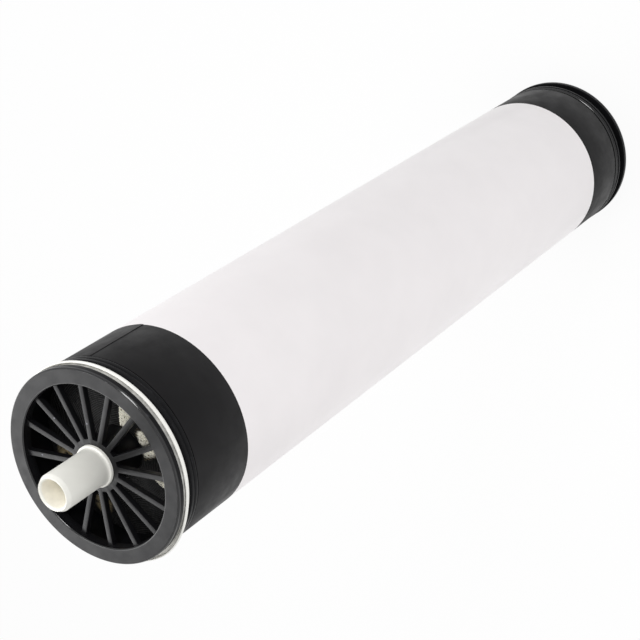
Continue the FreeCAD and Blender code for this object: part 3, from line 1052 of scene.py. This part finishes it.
def wrap(name, sizes, free_edge, cap_edge, seam, material, turned_down):
    """Film or tape round the shell, whose outer end lies on its first turn.

    Tape that is turned down closes the end of the shell, down to the neck of the cap.
    """
    build = bmesh.new()
    edge_round = 0.22 * MM
    inner = SHELL_RADIUS + sizes.glue_gap
    base = inner + sizes.wrap_thickness
    above_neck = 0.15 * MM
    neck = sizes.neck_radius + above_neck
    past_shell = 0.3 * MM
    over = math.copysign(past_shell, cap_edge - free_edge)
    under = over / 5
    sections = []
    for index in range(LATHE_SEGMENTS + 1):
        angle = 2 * math.pi * index / LATHE_SEGMENTS
        share = max(0, 1 - angle / sizes.lap_angle)
        outer = base + sizes.wrap_lap * share * share * (3 - 2 * share)
        outline = [(inner, free_edge), (outer, free_edge), (outer, cap_edge), (inner, cap_edge)]
        if turned_down:
            outline[2:] = [
                (outer, cap_edge + over), (neck, cap_edge + over),
                (neck, cap_edge + under), (inner, cap_edge + under),
            ]
        section = rounded(outline, edge_round, steps=2)
        direction = outwards(angle + seam)
        sections.append([direction * radius + Vector((0, 0, height)) for radius, height in section])
    skin_with_ends(build, sections)
    return finished(name, build, [material])


def ripple(direction, radius):
    """How far the wound leaves stray from a true spiral, alike in neighbouring turns."""
    sway = 0.9 * MM
    waves = 2.6
    alike = 22 * MM
    return sway * noise.noise(Vector((direction.x * waves, direction.y * waves, radius / alike)))


def spiral_sheet(build, sizes):
    """Feed end face of the roll: lands of leaf edge and open channels, along one spiral."""
    pitch = sizes.leaf_pitch
    per_turn = ROLL_STEPS_PER_TURN
    turns = int((ROLL_RADIUS - CORE_RADIUS) / pitch) - 1
    last = len(LEAF_PROFILE) - 1
    core_gap = 0.6 * MM
    start = CORE_RADIUS + core_gap
    cut_roughness = 0.12 * MM
    cut_grain = 3 * MM
    rows = []
    for step in range((turns + 1) * per_turn + 1):
        angle = 2 * math.pi * step / per_turn
        direction = outwards(angle)
        row = []
        for share, deep in LEAF_PROFILE:
            radius = start + pitch * (angle / (2 * math.pi) + share)
            radius += ripple(direction, radius)
            ragged = cut_roughness * noise.noise(direction * radius / cut_grain) * (1 - deep)
            height = ROLL_TOP - deep * sizes.leaf_gap_depth + ragged - cut_roughness
            row.append(direction * radius + Vector((0, 0, height)))
        rows.append(row)
    sheet = [[build.verts.new(point) for point in row] for row in rows]
    for step in range(turns * per_turn):
        near, far = sheet[step], sheet[step + 1]
        for index in range(last):
            build.faces.new((near[index], far[index], far[index + 1], near[index + 1]))
        build.faces.new((near[last], far[last], sheet[step + 1 + per_turn][0], sheet[step + per_turn][0]))
    loose = [vertex for vertex in build.verts if not vertex.link_faces]
    bmesh.ops.delete(build, geom=loose, context="VERTS")


def membrane_roll(sizes, material):
    """The wound leaves, with the spiral of their edges at both ends."""
    build = bmesh.new()
    spiral_sheet(build, sizes)
    border = [edge for edge in build.edges if len(edge.link_faces) == 1]
    upper_faces = list(build.faces)
    middle = ROLL_BOTTOM + ROLL_TOP
    mirrored = {}
    for vertex in list(build.verts):
        mirrored[vertex] = build.verts.new((vertex.co.x, vertex.co.y, middle - vertex.co.z))
    for face in upper_faces:
        build.faces.new([mirrored[vertex] for vertex in reversed(face.verts)])
    for edge in border:
        first, second = edge.verts
        build.faces.new((first, second, mirrored[second], mirrored[first]))
    return finished("wound_membrane_roll", build, [material], sharp_degrees=30)


def inside_netting(sizes, point):
    """Whether a point of the netting end lies near a patch painted as lit, where its strands are drawn."""
    in_sector = sizes.netting_start < math.atan2(point.y, point.x) < sizes.netting_end
    if not in_sector or point.length < sizes.netting_inner_radius:
        return False
    return any(
        (point - spot_at(degrees, radius)).length < (reach + STRAND_MARGIN) * MM
        for degrees, radius, reach in LIT_NETTING_SPOTS
    )


def netting_runs(sizes, direction, across, offset):
    """Stretches of one strand that lie on the netting end, as lists of points in the plane."""
    reach = sizes.netting_outer_radius
    step = sizes.netting_pitch / 2
    runs = [[]]
    for index in range(int(2 * reach / step) + 1):
        along = -reach + index * step
        point = direction * along + across * offset
        if inside_netting(sizes, point):
            runs[-1].append(point)
        elif runs[-1]:
            runs.append([])
    # A stretch of fewer than three points is too short to show.
    return [run for run in runs if len(run) > 2]


def strand(build, points, radius):
    """A thin closed tube along the points."""
    turns = [2 * math.pi * index / STRAND_SIDES for index in range(STRAND_SIDES)]
    loops = []
    for index, point in enumerate(points):
        ahead = points[min(index + 1, len(points) - 1)] - points[max(index - 1, 0)]
        side = ahead.cross(Vector((0, 0, 1))).normalized()
        up = side.cross(ahead).normalized()
        loops.append([
            point + side * radius * math.cos(turn) + up * radius * math.sin(turn) for turn in turns
        ])
    skin_with_ends(build, loops)


def netting_strands(build, sizes):
    """Crossing strands of the feed spacer, each lying over and under the others."""
    middle = (sizes.netting_start + sizes.netting_end) / 2
    radius = sizes.strand_radius
    height = NETTING_TOP - radius
    # The lower strands are welded into the upper ones, and lie this share of a radius lower.
    weld = 0.8
    count = int(sizes.netting_outer_radius // sizes.netting_pitch)
    for layer, lean in ((0, -math.pi / 4), (1, math.pi / 4)):
        direction = outwards(middle + lean)
        across = direction.cross(Vector((0, 0, 1)))
        for index in range(-count, count + 1):
            for run in netting_runs(sizes, direction, across, index * sizes.netting_pitch):
                points = [Vector((point.x, point.y, height - layer * radius * weld)) for point in run]
                strand(build, points, radius)


def netting_sheet(build, sizes):
    """Glued leaf ends under the netting, ridged like the edges that they lie on."""
    low = ROLL_TOP
    ridge = 0.75 * MM
    groove = 0.1 * MM
    sleeve_gap = 0.8 * MM
    # One ridge: share of the pitch and height
    profile = ((0, groove), (0.08, ridge), (0.46, ridge), (0.54, groove))
    inner = sizes.hub_sleeve_radius + sleeve_gap
    pitch = sizes.leaf_pitch
    count = int((sizes.netting_outer_radius - inner) / pitch) - 1
    sections = []
    for index in range(NETTING_STEPS + 1):
        angle = sizes.netting_start + (sizes.netting_end - sizes.netting_start) * index / NETTING_STEPS
        direction = outwards(angle)
        outline = [(inner, low)]
        for turn in range(count):
            radius = inner + (turn + angle / (2 * math.pi) + 1) * pitch
            radius += ripple(direction, radius)
            outline += [(radius + share * pitch, height + low) for share, height in profile]
        outline.append((sizes.netting_outer_radius, low))
        sections.append([direction * radius + Vector((0, 0, height)) for radius, height in outline])
    skin_with_ends(build, sections)


def netting_end(sizes, strand_material, sheet_material):
    """Folded end of the outermost feed spacer with the leaf under it."""
    build = bmesh.new()
    netting_strands(build, sizes)
    strand_faces = len(build.faces)
    netting_sheet(build, sizes)
    build.faces.ensure_lookup_table()
    for face in build.faces[strand_faces:]:
        face.material_index = 1
    return finished("folded_netting_end", build, [strand_material, sheet_material])


# Stage


def seen_by_camera(tree):
    """1 for what the camera sees, straight, reflected or through something clear, and 0 for other light."""
    path = add_node(tree, "ShaderNodeLightPath", {}).outputs
    reflected = add_node(tree, "ShaderNodeMath", {
        0: path["Is Camera Ray"], 1: path["Is Glossy Ray"],
    }, operation="MAXIMUM")
    return add_node(tree, "ShaderNodeMath", {
        0: reflected, 1: path["Is Transmission Ray"],
    }, operation="MAXIMUM")


def pale_floor_material(colour):
    """Painted white floor that the camera sees as white, apart from the object's soft shadow."""
    material, tree, shader, position = new_material("painted_floor_matt", 0.9, 1.5, Specular_IOR_Level=0.1)
    set_inputs(tree, shader, {"Base Color": mottled(tree, position, 900, tinted(colour, 0.99), colour)})
    white = add_node(tree, "ShaderNodeEmission", {"Color": (1, 1, 1, 1), "Strength": 1.0})
    share = add_node(tree, "ShaderNodeMath", {0: seen_by_camera(tree), 1: 0.92}, operation="MULTIPLY")
    mix = add_node(tree, "ShaderNodeMixShader", {0: share, 1: shader, 2: white})
    set_inputs(tree, tree.nodes["Material Output"], {"Surface": mix})
    return material


def soft_world(sky):
    """White for what the camera and reflections see, and an even sky for what lights the object."""
    world = bpy.data.worlds.new("soft_studio")
    world.use_nodes = True
    tree = world.node_tree
    lighting = tree.nodes["Background"]
    set_inputs(tree, lighting, {"Color": (1, 1, 1, 1), "Strength": sky})
    white = add_node(tree, "ShaderNodeBackground", {"Color": (1, 1, 1, 1), "Strength": 1.0})
    mix = add_node(tree, "ShaderNodeMixShader", {0: seen_by_camera(tree), 1: lighting, 2: white})
    set_inputs(tree, tree.nodes["World Output"], {"Surface": mix})
    return world


def area_light(name, place_at, aim, size, power):
    """A large square lamp that faces a point."""
    lamp = bpy.data.lights.new(name, "AREA")
    lamp.size = size
    lamp.energy = power
    holder = bpy.data.objects.new(name, lamp)
    holder.location = place_at
    holder.rotation_euler = (aim - place_at).to_track_quat("-Z", "Y").to_euler()
    bpy.context.collection.objects.link(holder)


def add_camera(stage):
    """Camera at the photograph's angle, with no shift and no depth of field."""
    camera = bpy.data.objects.new("camera", bpy.data.cameras.new("camera"))
    camera.data.sensor_width = 36
    camera.data.lens = stage.lens
    camera.data.clip_start = 0.05
    camera.location = stage.camera_place
    camera.rotation_euler = Euler(stage.camera_turn)
    bpy.context.collection.objects.link(camera)
    bpy.context.scene.camera = camera


# Operators


class BuildProductTube(bpy.types.Operator):
    """Turned and drilled product tube with its shoulder and spigot"""

    bl_idname = "membrane.product_tube"
    bl_label = "Product tube"

    def execute(self, context):
        sizes = context.scene.element_sizes
        colours = context.scene.element_colours
        plastic = turned_white_abs(colours.tube, colours.bore, sizes.bore_radius)
        settle(product_tube(sizes, plastic), "product_tube", "product_tube")
        return {"FINISHED"}


class BuildMembraneRoll(bpy.types.Operator):
    """Wound leaves with the spiral of their trimmed edges at both ends"""

    bl_idname = "membrane.roll"
    bl_label = "Membrane roll"

    def execute(self, context):
        sizes = context.scene.element_sizes
        colours = context.scene.element_colours
        leaves = trimmed_leaf_edges(colours.leaf, colours.glue)
        settle(membrane_roll(sizes, leaves), "membrane_leaves", "membrane_roll")
        return {"FINISHED"}


class BuildNettingEnd(bpy.types.Operator):
    """Cream end of the feed spacer, folded on to the roll"""

    bl_idname = "membrane.netting_end"
    bl_label = "Netting end"

    def execute(self, context):
        sizes = context.scene.element_sizes
        colours = context.scene.element_colours
        netting = extruded_netting(colours.netting, colours.glue)
        leaf = glued_leaf_sheet(colours.netting, colours.glue, colours.leaf)
        settle(netting_end(sizes, netting, leaf), "feed_spacer", "feed_spacer_end")
        return {"FINISHED"}


class BuildEndCaps(bpy.types.Operator):
    """Both anti-telescoping caps with their spoked grilles"""

    bl_idname = "membrane.end_caps"
    bl_label = "End caps"

    def execute(self, context):
        sizes = context.scene.element_sizes
        plastic = moulded_glass_filled_plastic(context.scene.element_colours.cap, sizes)
        caps = (
            ("moulded_feed_cap", "feed_end_cap", True),
            ("moulded_concentrate_cap", "concentrate_end_cap", False),
        )
        for name, node, at_feed_end in caps:
            settle(end_cap(name, sizes, plastic, at_feed_end), "cap_plastic", node)
        return {"FINISHED"}


class BuildBrineSeal(bpy.types.Operator):
    """White cup seal in the groove of the feed end cap"""

    bl_idname = "membrane.brine_seal"
    bl_label = "Brine seal"

    def execute(self, context):
        sizes = context.scene.element_sizes
        build = bmesh.new()
        edge_round = 0.5 * MM
        lathe(build, rounded(seal_outline(sizes), edge_round))
        turned_end(build)
        shape_free_lip(build, sizes)
        rubber = moulded_seal_rubber(context.scene.element_colours.seal)
        settle(finished("cup_brine_seal", build, [rubber]), "seal_rubber", "brine_seal")
        return {"FINISHED"}


class BuildWraps(bpy.types.Operator):
    """White film and the two black bands, each with its lap"""

    bl_idname = "membrane.wraps"
    bl_label = "Film and bands"

    def execute(self, context):
        sizes = context.scene.element_sizes
        colours = context.scene.element_colours
        tape = calendered_vinyl_tape(colours.tape)
        film = wound_white_film(colours.film)
        wraps = (
            ("taped_feed_band", "feed_end_band", sizes.feed_seam, tape, "black_tape"),
            ("taped_concentrate_band", "concentrate_end_band", sizes.concentrate_seam, tape, "black_tape"),
            ("wound_white_film", "white_film", sizes.film_seam, film, "white_film"),
        )
        for name, node, seam, material, slot in wraps:
            low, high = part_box(node)
            edges = (high.z, low.z) if node == "concentrate_end_band" else (low.z, high.z)
            piece = wrap(name, sizes, *edges, seam, material, turned_down=material is tape)
            settle(piece, slot, node)
        return {"FINISHED"}


class FinishInnerLayers(bpy.types.Operator):
    """Finishes of the solids that stay as they are: core wrap, lining tape and fibreglass"""

    bl_idname = "membrane.inner_layers"
    bl_label = "Inner layers"

    def execute(self, context):
        colours = context.scene.element_colours
        finishes = {
            "core_wrap": knitted_carrier(colours.carrier),
            "lining_tape": amber_film_tape(colours.lining),
            "fibreglass_shell": wound_fibreglass(colours.resin),
        }
        for node, material in finishes.items():
            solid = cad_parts[node]
            if not solid.material_slots:
                raise RuntimeError(f"{node} has no material slot")
            for material_slot in solid.material_slots:
                material_slot.material = material
        return {"FINISHED"}


class SetStage(bpy.types.Operator):
    """Pale floor, soft light and the camera"""

    bl_idname = "membrane.stage"
    bl_label = "Stage"

    def execute(self, context):
        stage = context.scene.element_stage
        add_camera(stage)
        middle = Vector((0, 0, LENGTH / 2))
        face = Vector((0, 0, LENGTH))
        beyond_face = face + Vector((0, 0, stage.side_aim))
        area_light("key", middle + stage.key_from, middle, stage.key_size, stage.key_power)
        area_light("sheen", face + stage.sheen_from, face, stage.sheen_size, stage.sheen_power)
        area_light("side", face + stage.side_from, beyond_face, stage.side_size, stage.side_power)
        area_light("fill", middle + stage.fill_from, middle, stage.fill_size, stage.fill_power)
        context.scene.world = soft_world(stage.sky)
        build = bmesh.new()
        half_floor = 6
        bmesh.ops.create_grid(build, x_segments=1, y_segments=1, size=half_floor)
        floor = finished("floor", build, [pale_floor_material(context.scene.element_colours.floor)])
        context.scene.view_settings.view_transform = "Standard"
        return {"FINISHED"}


class ElementPanel(bpy.types.Panel):
    """Sizes, colours and steps of the membrane element"""

    bl_idname = "VIEW3D_PT_membrane_element"
    bl_label = "Membrane element"
    bl_space_type = "VIEW_3D"
    bl_region_type = "UI"
    bl_category = "Membrane element"

    def draw(self, context):
        layout = self.layout
        for operator in OPERATORS:
            layout.operator(operator.bl_idname)
        for group_name, group in GROUPS.items():
            settings = getattr(context.scene, group_name)
            box = layout.box()
            for name in group.__annotations__:
                box.prop(settings, name)


OPERATORS = (
    BuildProductTube, BuildMembraneRoll, BuildNettingEnd, BuildEndCaps, BuildBrineSeal, BuildWraps,
    FinishInnerLayers, SetStage,
)
GROUPS = {"element_sizes": ElementSizes, "element_colours": ElementColours, "element_stage": StageSettings}


def register():
    """Register the settings, the operators and the panel."""
    for name, group in GROUPS.items():
        bpy.utils.register_class(group)
        setattr(bpy.types.Scene, name, bpy.props.PointerProperty(type=group))
    for operator in OPERATORS:
        bpy.utils.register_class(operator)
    bpy.utils.register_class(ElementPanel)


def unregister():
    """Undo what register did."""
    bpy.utils.unregister_class(ElementPanel)
    for operator in reversed(OPERATORS):
        bpy.utils.unregister_class(operator)
    for name, group in reversed(GROUPS.items()):
        delattr(bpy.types.Scene, name)
        bpy.utils.unregister_class(group)


def main():
    """Build the element."""
    register()
    bpy.ops.membrane.product_tube()
    bpy.ops.membrane.roll()
    bpy.ops.membrane.netting_end()
    bpy.ops.membrane.end_caps()
    bpy.ops.membrane.brine_seal()
    bpy.ops.membrane.wraps()
    bpy.ops.membrane.inner_layers()
    bpy.ops.membrane.stage()


if __name__ == "__main__":
    main()
